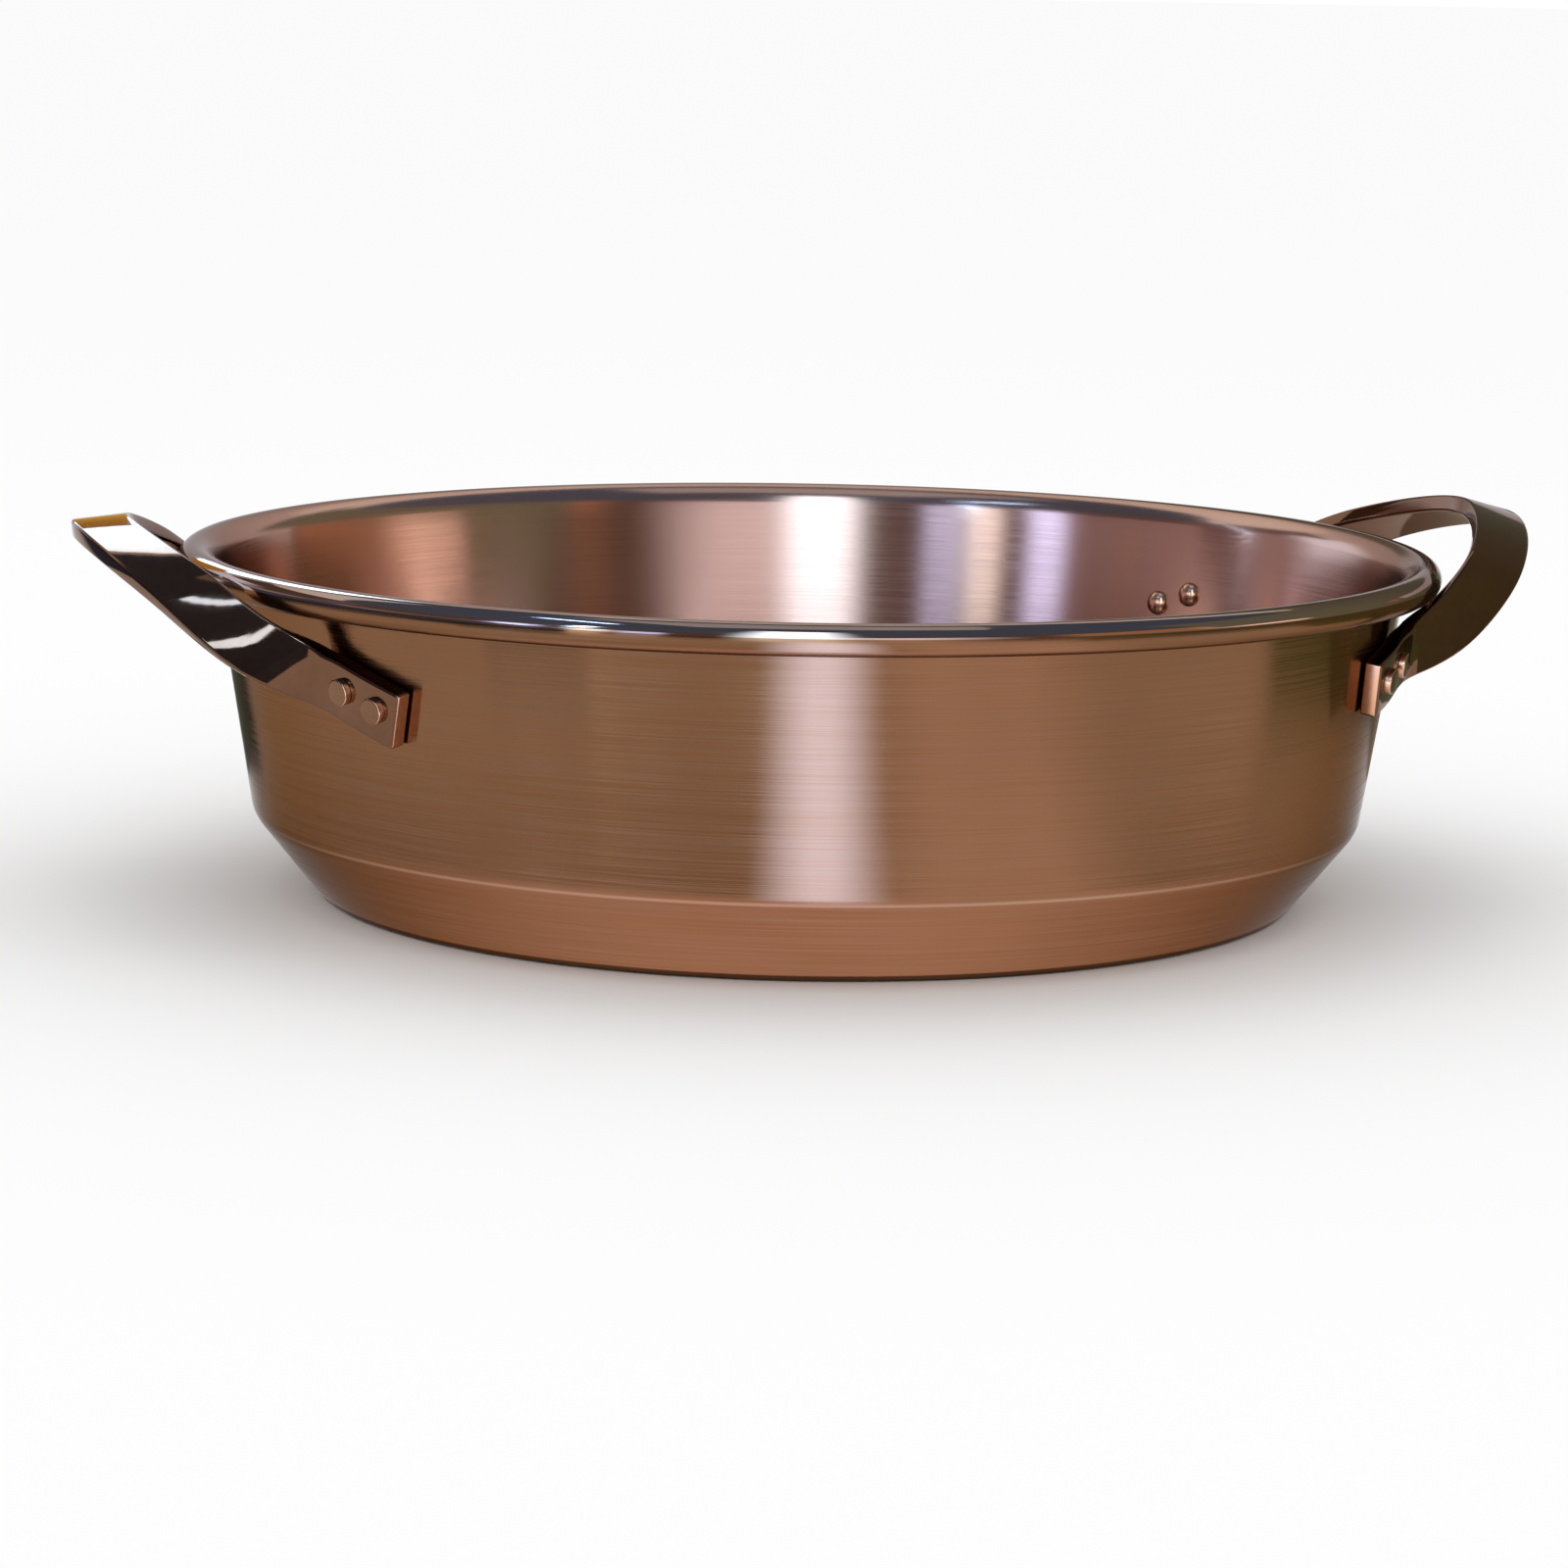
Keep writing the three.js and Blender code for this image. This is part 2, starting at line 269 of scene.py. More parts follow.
# A mix of two colours
def blend_colours(amount, first, second):
    settings = {"data_type": "RGBA", "clamp_factor": True}
    inputs = {mix_amount: amount, mix_first: first, mix_second: second}
    return amount.node("ShaderNodeMix", settings, inputs, mix_result)


# The bump that a height between 0 and 1 gives
def bump(height, strength, distance):
    return height.node("ShaderNodeBump", {}, {"Strength": strength, "Distance": distance, "Height": height})


# The chine's painted highlight: the line it follows, how soft its edges are and how wide its full part is
chine_line = chine_edge + chine_height  # radius plus height, by which the marks are counted
chine_soft = 1.2 * MM
chine_bright = 0.2 * MM
line_share = 0.85  # of the fine lines among the scratches, with broader bands for the rest
lathe_tone = 1.1
lathe_gloss = 0.05
lathe_bump = 0.03
lathe_depth = 0.4 * MM
lathe_turn = 0.25  # lays the shine across the brushing
brown_edge = (0.50, 0.46, 0.43)  # the metal's tint at a grazing angle


# Copper worked on a lathe: polished brown metal whose tone drifts from place to place, and fine scratches
# round the pan that show a little fresh metal. A line along the chine is painted lighter, a painted
# highlight.
def turned_copper(name, dark, light, fresh, marks, polish, scratch, brushed, chine_highlight_amount):
    material, start = new_material(name)
    place = piece_place(start)
    x, y, z = axes_of(place)
    along = z + (x * x + y * y) ** 0.5
    bands = ring_noise(x, y, along, round_scale=9, along_scale=500, detail=2)
    lines = ring_noise(x, y, along, round_scale=14, along_scale=2600, detail=1)
    drift = noise(place, scale=9, detail=4)
    scratches = stretch(lines * line_share + bands * (1 - line_share), low=0.36, high=0.64)
    # Painted highlight: a lighter line of colour along the chine
    painted_chine_highlight = stretch(start.maths("ABSOLUTE", along - chine_line, 0), low=chine_soft, high=chine_bright)
    worn = blend_colours(0.5 + swing(drift, lathe_tone), (*dark, 1), (*light, 1))
    add_surface(
        start,
        {
            "Base Color": blend_colours(scratches * marks + painted_chine_highlight * chine_highlight_amount, worn, (*fresh, 1)),
            "Metallic": 1.0,
            "Roughness": polish + scratches * (scratch - polish) + swing(drift, lathe_gloss),
            "Anisotropic": brushed,
            "Anisotropic Rotation": lathe_turn,
            "Specular Tint": (*brown_edge, 1),
            "Normal": bump(lines, lathe_bump, lathe_depth),
        },
    )
    return material


# Three copies of one copper sheet whose tones hold painted reflection and shade as well as their finish: the
# outside's dark brown stands in for a brown surround mirrored in it, and the inside and the bead are lighter
# for their brighter surround.
outside = turned_copper(
    "brushed_copper",
    dark=(0.172, 0.075, 0.034),
    light=(0.245, 0.116, 0.056),
    fresh=(0.35, 0.21, 0.135),
    marks=0.24,
    polish=0.10,
    scratch=0.24,
    brushed=1.0,
    chine_highlight_amount=0.85,
)
inside = turned_copper(
    "satin_copper",
    dark=(0.46, 0.28, 0.21),
    light=(0.62, 0.40, 0.32),
    fresh=(0.66, 0.47, 0.41),
    marks=0.10,
    polish=0.16,
    scratch=0.22,
    brushed=0.8,
    chine_highlight_amount=0.1,
)
bead = turned_copper(
    "bead_copper",
    dark=(0.36, 0.26, 0.21),
    light=(0.48, 0.35, 0.295),
    fresh=(0.48, 0.37, 0.31),
    marks=0.10,
    polish=0.05,
    scratch=0.09,
    brushed=0.0,
    chine_highlight_amount=0.0,
)
for finish in (outside, inside, bead):
    bowl.data.materials.append(finish)


# Gives the active piece's faces that pass a test one of its materials
def face_finish(finish, wanted):
    piece = bpy.context.object
    bpy.ops.object.mode_set(mode="EDIT")
    pick("FACE", wanted)
    piece.active_material_index = piece.data.materials.find(finish.name)
    bpy.ops.object.material_slot_assign()
    bpy.ops.object.mode_set(mode="OBJECT")


# The inside of the bowl: what looks inward and up more than outward and down
def looks_inward(face):
    middle = face.calc_center_median()
    return face.normal.dot(Vector((middle.x, middle.y, -middle.to_2d().length))) < 0


bead_reach = 1.08 * bead_radius
bead_under = 0.12 * bead_radius


# The polished part of the bead: its top and its front, down to where it turns under. Below that the bead
# keeps the outside's dark brown copy, a painted reflection under the bead.
def on_bead(face):
    middle = face.calc_center_median()
    from_wire = Vector((middle.to_2d().length, middle.z)) - bead_centre
    return from_wire.length < bead_reach and from_wire.y > bead_under


face_finish(inside, looks_inward)
face_finish(bead, on_bead)
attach(bowl, "root")
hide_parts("bowl")

# The rim wire
# A ring of drawn steel that the bowl's edge is rolled round. It stiffens the rim, and the bead closes it in,
# so its shape stays that of the frame and only its finish is new.
steel_dark = (0.40, 0.39, 0.37)
steel_light = (0.66, 0.65, 0.63)
steel_smooth = 0.36
steel_rough = 0.60
steel, steel_start = new_material("drawn_steel")
steel_marks = noise(piece_place(steel_start), scale=260, detail=3)
add_surface(
    steel_start,
    {
        "Base Color": blend_colours(steel_marks, (*steel_dark, 1), (*steel_light, 1)),
        "Metallic": 1.0,
        "Roughness": steel_smooth + steel_marks * (steel_rough - steel_smooth),
    },
)
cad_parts["rim_wire"].material_slots[0].material = steel

# The strap handles
# Two lengths of flat copper bar, their corners eased, bent by hand to a loop. A foot at each end lies flat
# on the wall, climbs a little along it, and holds two rivets. The bar twists from upright foot to level loop.
strap_width = 20.4 * MM
strap_thickness = 6.5 * MM
strap_edge = 1.2 * MM
seat_gap = 0.3 * MM
foot_level = 84 * MM
foot_angle = math.radians(37.6)  # from the loop's middle to the foot's end, round the bowl
foot_length = 39 * MM
foot_rise = math.radians(17)
heel_lift = 1.8 * MM
shoulder_turn = math.radians(4.4)
shoulder_inset = 4 * MM
shoulder_lean = math.radians(62)
bow_turn = math.radians(7.6)
bow_inset = 11.4 * MM
bow_lean = math.radians(24)
rivet_edge = 9.5 * MM
rivet_pitch = 16 * MM
rivet_head = 4.6 * MM
flat_length = rivet_edge + rivet_pitch + rivet_head
path_steps = 14
edge_steps = 4
strap_cuts = 150
end_facing = 0.9  # how squarely a cut end looks along the bar

straps = [
    {
        "name": "left",
        "facing": math.pi,
        "reach": 28.3 * MM,
        "rise": 8.6 * MM,
        "lean": math.radians(6),
        "shoulder_gap": 4.1 * MM,
        "bow_share": 0.735,
        "feet": {
            -1: {"name": "back", "lift": 0, "rise": foot_rise},
            1: {"name": "front", "lift": 0, "rise": foot_rise},
        },
    },
    {
        "name": "right",
        "facing": 0,
        "reach": 31 * MM,
        "rise": 10.5 * MM,
        "lean": math.radians(15),
        "shoulder_gap": 0.8 * MM,
        "bow_share": 0.768,
        "feet": {
            -1: {"name": "front", "lift": 5.5 * MM, "rise": math.radians(13.5)},
            1: {"name": "back", "lift": 0, "rise": foot_rise},
        },
    },
]

hair_scale = (420, 26, 420)  # short across the bar and long along the loop
hair_tone = 0.5
hair_gloss = 0.06
hair_height = 0.02
polish_tone = 1.2
polish_gloss = 0.05
polish_depth = 0.6 * MM
bright_edge = (0.75, 0.72, 0.70)  # the metal's tint at a grazing angle


# Copper polished by hand: nearly a mirror, with a slow unevenness and hairlines along the bar
def polished_copper(name, dark, light, roughness, wave):
    material, start = new_material(name)
    place = piece_place(start)
    drawn_out = place.node("ShaderNodeMapping", {}, {"Vector": place, "Scale": hair_scale})
    hairs = noise(drawn_out, scale=1, detail=2)
    drift = noise(place, scale=24, detail=3)
    uneven = noise(place, scale=38, detail=1)
    tone = 0.5 + swing(hairs, hair_tone) + swing(drift, polish_tone)
    add_surface(
        start,
        {
            "Base Color": blend_colours(tone, (*dark, 1), (*light, 1)),
            "Metallic": 1.0,
            "Roughness": roughness + swing(hairs, hair_gloss) + swing(drift, polish_gloss),
            "Specular Tint": (*bright_edge, 1),
            "Normal": bump(uneven + hairs * hair_height, wave, polish_depth),
        },
    )
    return material


strap_copper = polished_copper(
    "strap_copper", dark=(0.14, 0.068, 0.038), light=(0.21, 0.108, 0.065), roughness=0.07, wave=0.12
)
# Bright copper: fresh metal on the bars' cut ends, and a painted highlight on the rivets' sides and domes,
# lighter to stand in for glints
cut_copper_and_painted_glint = polished_copper(
    "cut_copper_and_painted_glint", dark=(0.66, 0.36, 0.21), light=(0.84, 0.52, 0.34), roughness=0.24, wave=0.3
)


def wall_radius(height):
    return chine_edge + (height - chine_height) * math.tan(wall_lean)


def polar(radius, azimuth, height):
    return Vector((radius * math.cos(azimuth), radius * math.sin(azimuth), height))


def wall_normal(azimuth):
    return polar(math.cos(wall_lean), azimuth, -math.sin(wall_lean))


# A place on a foot: its azimuth and height, from the distance along the bar and above the middle of its width
def foot_place(strap, side, along, above):
    foot = strap["feet"][side]
    rise = foot["rise"]
    height = foot_level + foot["lift"] + along * math.sin(rise) + above * math.cos(rise)
    run = (along * math.cos(rise) - above * math.sin(rise)) / wall_radius(height)
    return strap["facing"] + side * (foot_angle - run), height


# The bar's middle and the direction of its width, on a foot
def foot_knot(strap, side, along, lift):
    azimuth, height = foot_place(strap, side, along, 0)
    rise = strap["feet"][side]["rise"]
    off = (seat_gap + lift + strap_thickness / 2) / math.cos(wall_lean)
    forward = polar(math.cos(rise), azimuth + math.pi / 2, -side * math.sin(rise))
    width = wall_normal(azimuth).cross(forward).normalized()
    return polar(wall_radius(height) + off, azimuth, height), width


# The same on the loop
def loop_knot(strap, side, angle, out, height, lean):
    azimuth = strap["facing"] + side * angle
    return polar(rim_radius + out, azimuth, height), polar(-math.cos(lean), azimuth, math.sin(lean))


# The places that the bar passes, from the end of a foot towards the loop's middle
def leg_knots(strap, side):
    heel_span = foot_length * math.cos(foot_rise) / wall_radius(foot_level)
    shoulder_angle = foot_angle - heel_span - shoulder_turn
    inward = (strap_width * math.cos(shoulder_lean) + strap_thickness * math.sin(shoulder_lean)) / 2
    above = (strap_width * math.sin(shoulder_lean) - strap_thickness * math.cos(shoulder_lean)) / 2
    shoulder_height = pan_height - 2 * bead_radius - strap["shoulder_gap"] - above
    bow_height = foot_level + (pan_height + strap["rise"] - foot_level) * strap["bow_share"]
    foot = [foot_knot(strap, side, flat_length * share, 0) for share in (0, 0.5, 1)]
    heel = foot_knot(strap, side, foot_length, heel_lift)
    shoulder = loop_knot(strap, side, shoulder_angle, inward - shoulder_inset, shoulder_height, shoulder_lean)
    bow = loop_knot(strap, side, shoulder_angle - bow_turn, strap["reach"] - bow_inset, bow_height, bow_lean)
    return foot + [heel, shoulder, bow]


# A smooth line through places, with its pace set by the root of their distances
def smooth_line(places, steps):
    ends = [2 * places[0] - places[1]] + places + [2 * places[-1] - places[-2]]
    line = []
    for before, start, stop, after in zip(ends, ends[1:], ends[2:], ends[3:]):
        run = stop - start
        pace_in = (start - before).length ** 0.5
        pace = run.length ** 0.5
        pace_out = (after - stop).length ** 0.5
        leave = ((start - before) / pace_in - (stop - before) / (pace_in + pace)) * pace + run
        arrive = ((after - stop) / pace_out - (after - start) / (pace + pace_out)) * pace + run
        for i in range(steps):
            s = i / steps
            bulge = leave * (s - 2 * s * s + s ** 3) + arrive * (s ** 3 - s * s)
            line.append(start + run * (3 * s * s - 2 * s ** 3) + bulge)
    return line + [places[-1]]


# The bar's path as a curve whose tilt lays the bar's width along the given direction
def strap_path(strap):
    middle = loop_knot(strap, 1, 0, strap["reach"], pan_height + strap["rise"], strap["lean"])
    knots = leg_knots(strap, -1) + [middle] + leg_knots(strap, 1)[::-1]
    upper = smooth_line([place + width * (strap_width / 2) for place, width in knots], path_steps)
    lower = smooth_line([place - width * (strap_width / 2) for place, width in knots], path_steps)
    centres = [(a + b) / 2 for a, b in zip(upper, lower)]
    curve = bpy.data.curves.new(strap["name"] + "_path", "CURVE")
    curve.dimensions = "3D"
    curve.twist_mode = "Z_UP"
    spline = curve.splines.new("POLY")
    spline.points.add(len(centres) - 1)
    tilt = 0
    for i, point in enumerate(spline.points):
        forward = (centres[min(i + 1, len(centres) - 1)] - centres[max(i - 1, 0)]).normalized()
        width = upper[i] - lower[i]
        level = Vector((0, 0, 1)).cross(forward).normalized()
        turn = math.atan2(width.dot(forward.cross(level)), width.dot(level))
        tilt += math.remainder(turn - tilt, 2 * math.pi)
        point.co = (*centres[i], 1)
        point.tilt = tilt
    path = bpy.data.objects.new(strap["name"] + "_path", curve)
    bpy.context.scene.collection.objects.link(path)
    length = sum((b - a).length for a, b in zip(centres, centres[1:]))
    return path, length


# A straight bar with eased corners, bent along its path
def bent_strap(strap):
    path, length = strap_path(strap)
    bpy.ops.object.select_all(action="DESELECT")
    bpy.ops.mesh.primitive_cube_add(
        size=1, scale=(length, strap_width, strap_thickness), location=(length / 2, 0, 0)
    )
    piece = keep_as(strap["name"] + "_strap")
    bpy.ops.object.mode_set(mode="EDIT")
    bpy.ops.mesh.select_all(action="SELECT")
    bpy.ops.mesh.bevel(
        offset=strap_edge, offset_type="OFFSET", segments=edge_steps, profile=0.5, affect="EDGES"
    )
    pick("EDGE", lambda edge: edge.calc_length() > length / 2)
    bpy.ops.mesh.subdivide(number_cuts=strap_cuts)
    bpy.ops.object.mode_set(mode="OBJECT")
    piece.data.materials.append(strap_copper)
    piece.data.materials.append(cut_copper_and_painted_glint)
    face_finish(cut_copper_and_painted_glint, lambda face: abs(face.normal.x) > end_facing)
    apply_modifier("CURVE", object=path, deform_axis="POS_X")
    bpy.data.objects.remove(path)
    return piece


for strap in straps:
    strap["piece"] = bent_strap(strap)
    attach(strap["piece"], "root")
    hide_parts(strap["name"] + "_handle")

# The rivets
# Eight copper rivets, two through each foot. Bar and wall are drilled together, the flat head is outside on
# the bar, and the shank is hammered over to a dome inside the bowl.
shank_radius = 2.5 * MM
hole_radius = 2.8 * MM
drill_length = 4 * strap_thickness
head_height = 2.4 * MM
head_bevel = 0.5 * MM
head_facing = 0.8  # how squarely the top of the head looks outward
dome_radius = 4.8 * MM
dome_height = 3.4 * MM
dome_steps = 8
rivet_set = 1.4 * MM  # above the middle of the bar's width
rivet_steps = 32
crisp_angle = math.radians(40)  # a sharper corner stays crisp
hair_breadth = 0.01 * MM

head_base = seat_gap + strap_thickness
head_top = head_base + head_height
dome_base = -sheet


# Where each rivet goes: its name, its place on the outside of the wall and the turn of its axis
def rivet_places():
    places = []
    for strap in straps:
        for side in (-1, 1):
            for i, step in enumerate(("low", "high")):
                azimuth, height = foot_place(strap, side, rivet_edge + rivet_pitch * i, rivet_set)
                name = "_".join((strap["name"], strap["feet"][side]["name"], step, "rivet"))
                turn = Vector((0, 0, 1)).rotation_difference(wall_normal(azimuth))
                places.append((name, polar(wall_radius(height), azimuth, height), turn.to_euler()))
    return places


# Makes one piece the only one that the operators act on
def work_on(piece):
    bpy.ops.object.select_all(action="DESELECT")
    piece.select_set(True)
    bpy.context.view_layer.objects.active = piece


# The drilled holes: one cutter for all of them
bpy.ops.object.select_all(action="DESELECT")
drills = []
for name, place, turn in rivet_places():
    bpy.ops.mesh.primitive_cylinder_add(
        vertices=rivet_steps, radius=hole_radius, depth=drill_length, location=place, rotation=turn
    )
    drills.append(bpy.context.object)
for drill in drills:
    drill.select_set(True)
bpy.ops.object.join()
cutter = keep_as("drill")
for piece in [bowl] + [strap["piece"] for strap in straps]:
    work_on(piece)
    apply_modifier("BOOLEAN", object=cutter, operation="DIFFERENCE", solver="EXACT")
    bpy.ops.object.shade_smooth_by_angle(angle=crisp_angle)
bpy.data.objects.remove(cutter)

# One rivet, drawn up from the crown of its dome to the edge of its head, and closed
dome = arc(Vector((0, 0)), 1, -math.pi / 2, 0, dome_steps)[1:]
rivet_rings = [Vector((dome_radius * at.x, dome_base + dome_height * at.y)) for at in dome]
rivet_rings.append(Vector((shank_radius, dome_base)))
rivet_rings.append(Vector((shank_radius, head_base)))
rivet_rings.append(Vector((rivet_head, head_base)))
rivet_rings.append(Vector((rivet_head, head_top)))
bpy.ops.object.select_all(action="DESELECT")
bpy.ops.mesh.primitive_circle_add(
    vertices=rivet_steps, radius=rivet_rings[0].x, fill_type="NGON", location=(0, 0, rivet_rings[0].y)
)
first_rivet = keep_as("first_rivet")
bpy.ops.object.mode_set(mode="EDIT")
pick("EDGE", lambda edge: edge.is_boundary)
draw_up(rivet_rings)
bpy.ops.mesh.edge_face_add()
bpy.ops.mesh.select_all(action="SELECT")
bpy.ops.mesh.normals_make_consistent(inside=False)
pick("EDGE", lambda edge: min(end.co.z for end in edge.verts) > head_top - hair_breadth)
bpy.ops.mesh.bevel(offset=head_bevel, segments=edge_steps, profile=0.5, affect="EDGES")
bpy.ops.object.mode_set(mode="OBJECT")
bpy.ops.object.shade_smooth_by_angle(angle=crisp_angle)

rivet_copper = polished_copper(
    "rivet_copper", dark=(0.17, 0.085, 0.048), light=(0.26, 0.14, 0.085), roughness=0.12, wave=0.2
)
first_rivet.data.materials.append(rivet_copper)
first_rivet.data.materials.append(cut_copper_and_painted_glint)
# The rivet's sides, underside and dome take the bright copy, a painted highlight; the top of the head keeps
# the rivet's own tone
face_finish(cut_copper_and_painted_glint, lambda face: face.normal.z < head_facing)
for name, place, turn in rivet_places():
    work_on(first_rivet)
    bpy.ops.object.duplicate()
    bpy.context.object.location = place
    bpy.context.object.rotation_euler = turn
    rivet = keep_as("set_" + name)
    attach(rivet, "root")
    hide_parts(name)
bpy.data.objects.remove(first_rivet)

# The studio
# A plain pale floor, a white surround and one soft lamp. Toned panels stand round the pan for the polished
# metal to reflect, and nothing else sees them.
scene = bpy.context.scene
scene.view_settings.view_transform = "Standard"
floor_size = 400
floor_tone = (0.96, 0.96, 0.96)
floor_roughness = 0.9

bpy.ops.object.select_all(action="DESELECT")
bpy.ops.mesh.primitive_plane_add(size=floor_size, location=(0, 0, 0))
floor = keep_as("floor")
floor_paint, floor_start = new_material("pale_floor")
add_surface(
    floor_start,
    {"Base Color": (*floor_tone, 1), "Roughness": floor_roughness, "Specular IOR Level": 0.0},
)
floor.data.materials.append(floor_paint)

world = bpy.data.worlds.new("white_surround")
world.use_nodes = True
world.node_tree.nodes.clear()
scene.world = world
sky = Wire(world.node_tree)
surround = sky.node("ShaderNodeBackground", {}, {"Color": (1, 1, 1, 1), "Strength": 1.0})
sky.node("ShaderNodeOutputWorld", {}, {"Surface": surround})

# A soft lamp overhead
lamp = bpy.data.lights.new("top_lamp", "AREA")
lamp.size = 1.2
lamp.energy = 2
lamp_holder = bpy.data.objects.new("top_lamp", lamp)
lamp_holder.location = (0, 0.1, 2.1)
scene.collection.objects.link(lamp_holder)

# The camera, with a long lens, a little above the rim
camera_place = Vector((-0.4111, -1.7392, 0.3284))
camera_turn = (80.768, -0.990, -12.881)
lens = bpy.data.cameras.new("camera")
lens.lens = 112.5
lens.sensor_width = 36
camera = bpy.data.objects.new("camera", lens)
camera.location = camera_place
camera.rotation_euler = Euler(math.radians(angle) for angle in camera_turn)
scene.collection.objects.link(camera)
scene.camera = camera

front = math.atan2(camera_place.y, camera_place.x)
panel_steps = 360


# A paint that glows with a plain tone
def glow_paint(name, tone):
    paint, start = new_material(name + "_paint")
    return paint, start.node("ShaderNodeEmission", {}, {"Color": (*tone, 1), "Strength": 1.0})


# Makes the active piece a panel that is seen in the metal alone
def panel(name, paint, light):
    light.node("ShaderNodeOutputMaterial", {}, {"Surface": light})
    piece = keep_as(name)
    piece.data.materials.append(paint)
    piece.visible_camera = False
    piece.visible_diffuse = False
    piece.visible_shadow = False


# A panel that is bent round the pan: the radius and height of its lower and upper edge, and the angles of
# its sides, counted from the camera's side and growing to the right. The soft share fades out to the sides.
def bent_panel(name, lower, upper, first, last, soft, tone):
    half = math.radians((last - first) / 2)
    middle = polar(1, front + math.radians((first + last) / 2), 0).to_2d()
    bpy.ops.object.select_all(action="DESELECT")
    bpy.ops.mesh.primitive_cone_add(
        vertices=panel_steps,
        radius1=lower[0],
        radius2=upper[0],
        depth=upper[1] - lower[1],
        end_fill_type="NOTHING",
        location=(0, 0, (lower[1] + upper[1]) / 2),
    )
    bpy.ops.object.mode_set(mode="EDIT")
    pick("FACE", lambda face: face.calc_center_median().to_2d().normalized().dot(middle) < math.cos(half))
    bpy.ops.mesh.delete(type="FACE")
    bpy.ops.object.mode_set(mode="OBJECT")
    paint, glow = glow_paint(name, tone)
    x, y = axes_of(piece_place(glow))[:2]
    across = (x * middle.x + y * middle.y) * (x * x + y * y) ** -0.5
    fade = stretch(across, math.cos(half), math.cos(half * (1 - soft))) ** 2
    clear = glow.node("ShaderNodeBsdfTransparent", {}, {})
    panel(name, paint, glow.node("ShaderNodeMixShader", {}, {0: fade, 1: clear, 2: glow}))


# A flat panel: its place, its turn, its width and height
def flat_panel(name, place, turn, size, tone):
    bpy.ops.object.select_all(action="DESELECT")
    bpy.ops.mesh.primitive_plane_add(size=1, location=place, rotation=[math.radians(angle) for angle in turn])
    bpy.context.object.scale = (*size, 1)
    panel(name, *glow_paint(name, tone))


sill = 0.02  # the lower edge of most tall panels
olive = (0.22, 0.235, 0.15)
slate = (0.10, 0.13, 0.20)

# Tall panels all round, some toned and some bright, and a dark one overhead
bent_panel("back_wall", (3.4, sill), (3.4, 2.2), 133, 219, 0.02, (0.72, 0.68, 0.72))
bent_panel("brown_wall", (3.4, sill), (3.4, 2.2), -142, 134, 0.02, (0.15, 0.10, 0.08))
bent_panel("warm_wall", (3.3, sill), (3.3, 1.9), 76, 134, 0.2, (0.55, 0.28, 0.16))
bent_panel("amber_wall", (3.3, 0.90), (3.3, 1.9), 40, 84, 0.4, (0.55, 0.30, 0.17))
bent_panel("pale_wall", (3.3, sill), (3.3, 1.15), -142, -44, 0.1, (0.46, 0.36, 0.39))
bent_panel("plum_wall", (3.2, sill), (3.2, 1.9), -103, -88, 0.6, (0.22, 0.15, 0.17))
bent_panel("lip_window", (3.1, sill), (3.1, 1.4), -156, -116, 0.6, (1.25, 1.50, 1.95))
bent_panel("warm_window", (3.0, sill), (3.0, 1.4), 70, 105, 0.8, (2.0, 1.55, 1.35))
bent_panel("pink_window", (3.0, sill), (3.0, 1.4), -14, 41, 0.85, (1.35, 1.38, 1.60))
bent_panel("lavender_window", (3.0, sill), (3.0, 1.4), -34.5, -23, 0.5, (1.25, 1.6, 2.7))
bent_panel("cream_window", (2.9, sill), (2.9, 1.4), -44.5, -32, 0.7, (2.4, 2.7, 2.9))
bent_panel("pale_window", (3.0, sill), (3.0, 1.5), -59.5, -46, 0.7, (2.1, 2.8, 4.9))
bent_panel("streak_window", (1.3, sill), (1.3, 2.1), -15, 10, 0.6, (2.8, 3.8, 4.8))
flat_panel("dark_ceiling", (0, -1.025, 2.2), (0, 0, 0), (6.8, 4.75), slate)

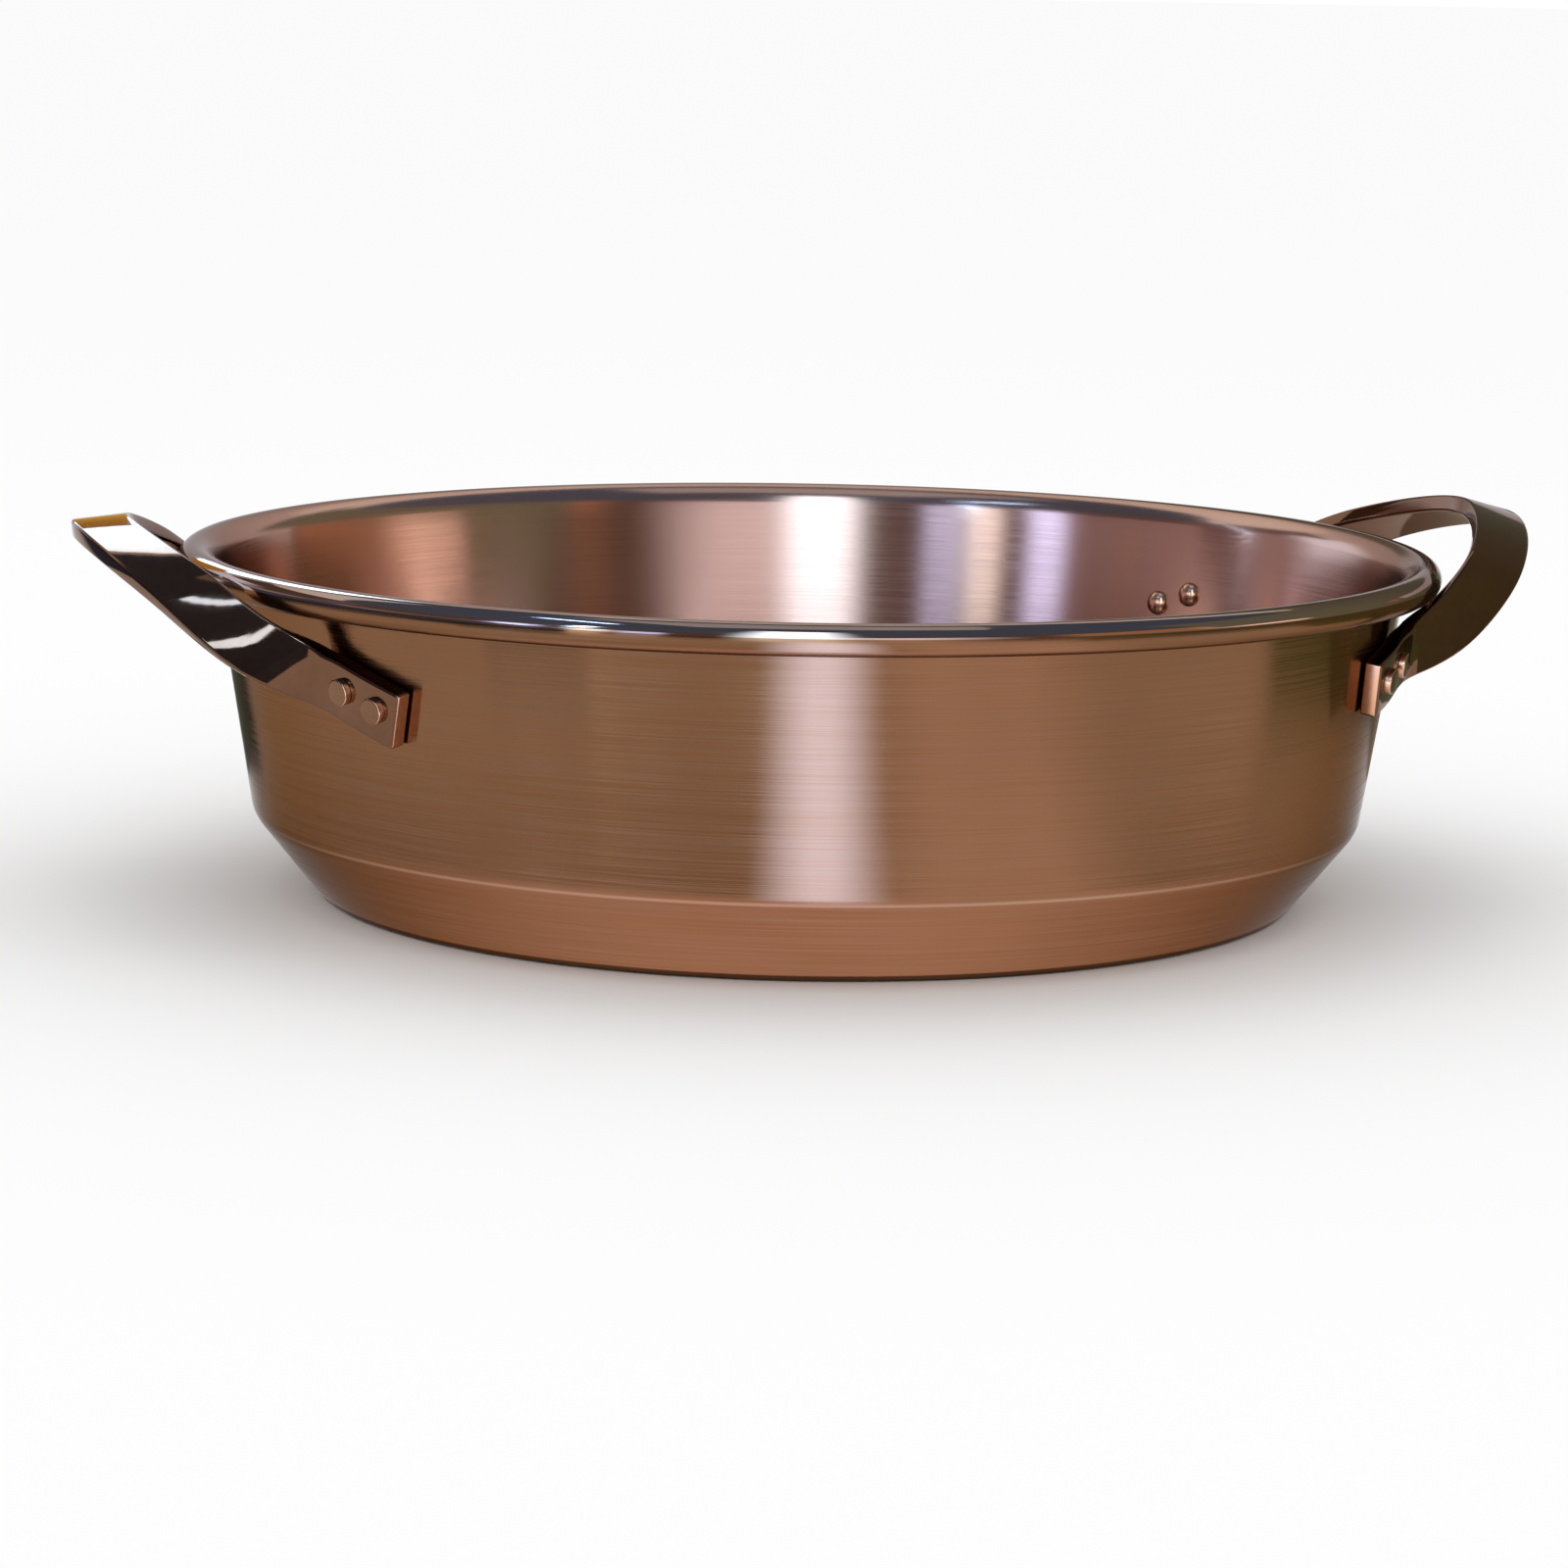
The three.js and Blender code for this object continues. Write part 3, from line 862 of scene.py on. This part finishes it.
# Glare and shade low on the floor
bent_panel("cone_glow", (0.25, 0.001), (0.181, 0.002), -100, 100, 0.9, (1.45, 1.28, 1.35))
bent_panel("right_glare", (1.0, 0.001), (0.215, 0.002), 2, 48, 0.7, (1.3, 1.25, 1.3))
bent_panel("streak_glare", (1.0, 0.002), (0.235, 0.004), -7.5, 11.5, 0.9, (3.3, 5.0, 9.4))
bent_panel("green_shade", (0.72, 0.003), (0.42, 0.004), 77, 119, 0.2, (0.20, 0.34, 0.09))
bent_panel("back_leg_shade", (0.75, 0.003), (0.34, 0.004), 122, 166, 0.3, (0.34, 0.26, 0.20))
bent_panel("left_shade", (0.32, 0.002), (0.32, 0.09), -132, -104, 0.4, (0.12, 0.13, 0.10))

# What the bead and the handles mirror
bent_panel("dark_side", (0.55, 0.23), (0.55, 0.56), 60, 168, 0.05, (0.21, 0.22, 0.17))
bent_panel("strap_shade", (0.385, 0.05), (0.385, 0.29), 70.5, 97, 0.2, olive)
bent_panel("foot_shade", (0.385, 0.015), (0.385, 0.12), 92, 128, 0.1, olive)
bent_panel("right_rim_shade", (0.30, 0.10), (0.30, 0.141), 26, 118, 0.1, olive)
bent_panel("left_rim_shade", (0.30, 0.10), (0.30, 0.148), -88, -30, 0.15, (0.08, 0.10, 0.16))
bent_panel("shoulder_shade", (0.40, 0.05), (0.40, 0.175), -47, -29, 0.15, (0.10, 0.12, 0.18))
flat_panel("foot_board", (0.222, -0.117, 0.080), (122.7, 0, 47.4), (0.036, 0.036), olive)
flat_panel("gold_board", (-0.258, 0.09, 0.165), (90, 0, 0), (0.034, 0.044), (0.95, 0.50, 0.07))
flat_panel("loop_window", (-0.2685, 0.30, 0.345), (90, 0, -22), (0.122, 0.29), (5.2, 9.0, 13.5))
flat_panel("loop_shade", (-0.2685, 0.28, 0.645), (90, 0, -22), (0.30, 0.30), slate)
flat_panel("high_window", (-0.515, -0.18, 0.96), (0, 0, 0), (0.04, 0.30), (4.4, 8.5, 15))
flat_panel("side_window", (-0.75, -0.59, 0.635), (90, 0, -46), (0.06, 0.24), (4.6, 8.5, 14))
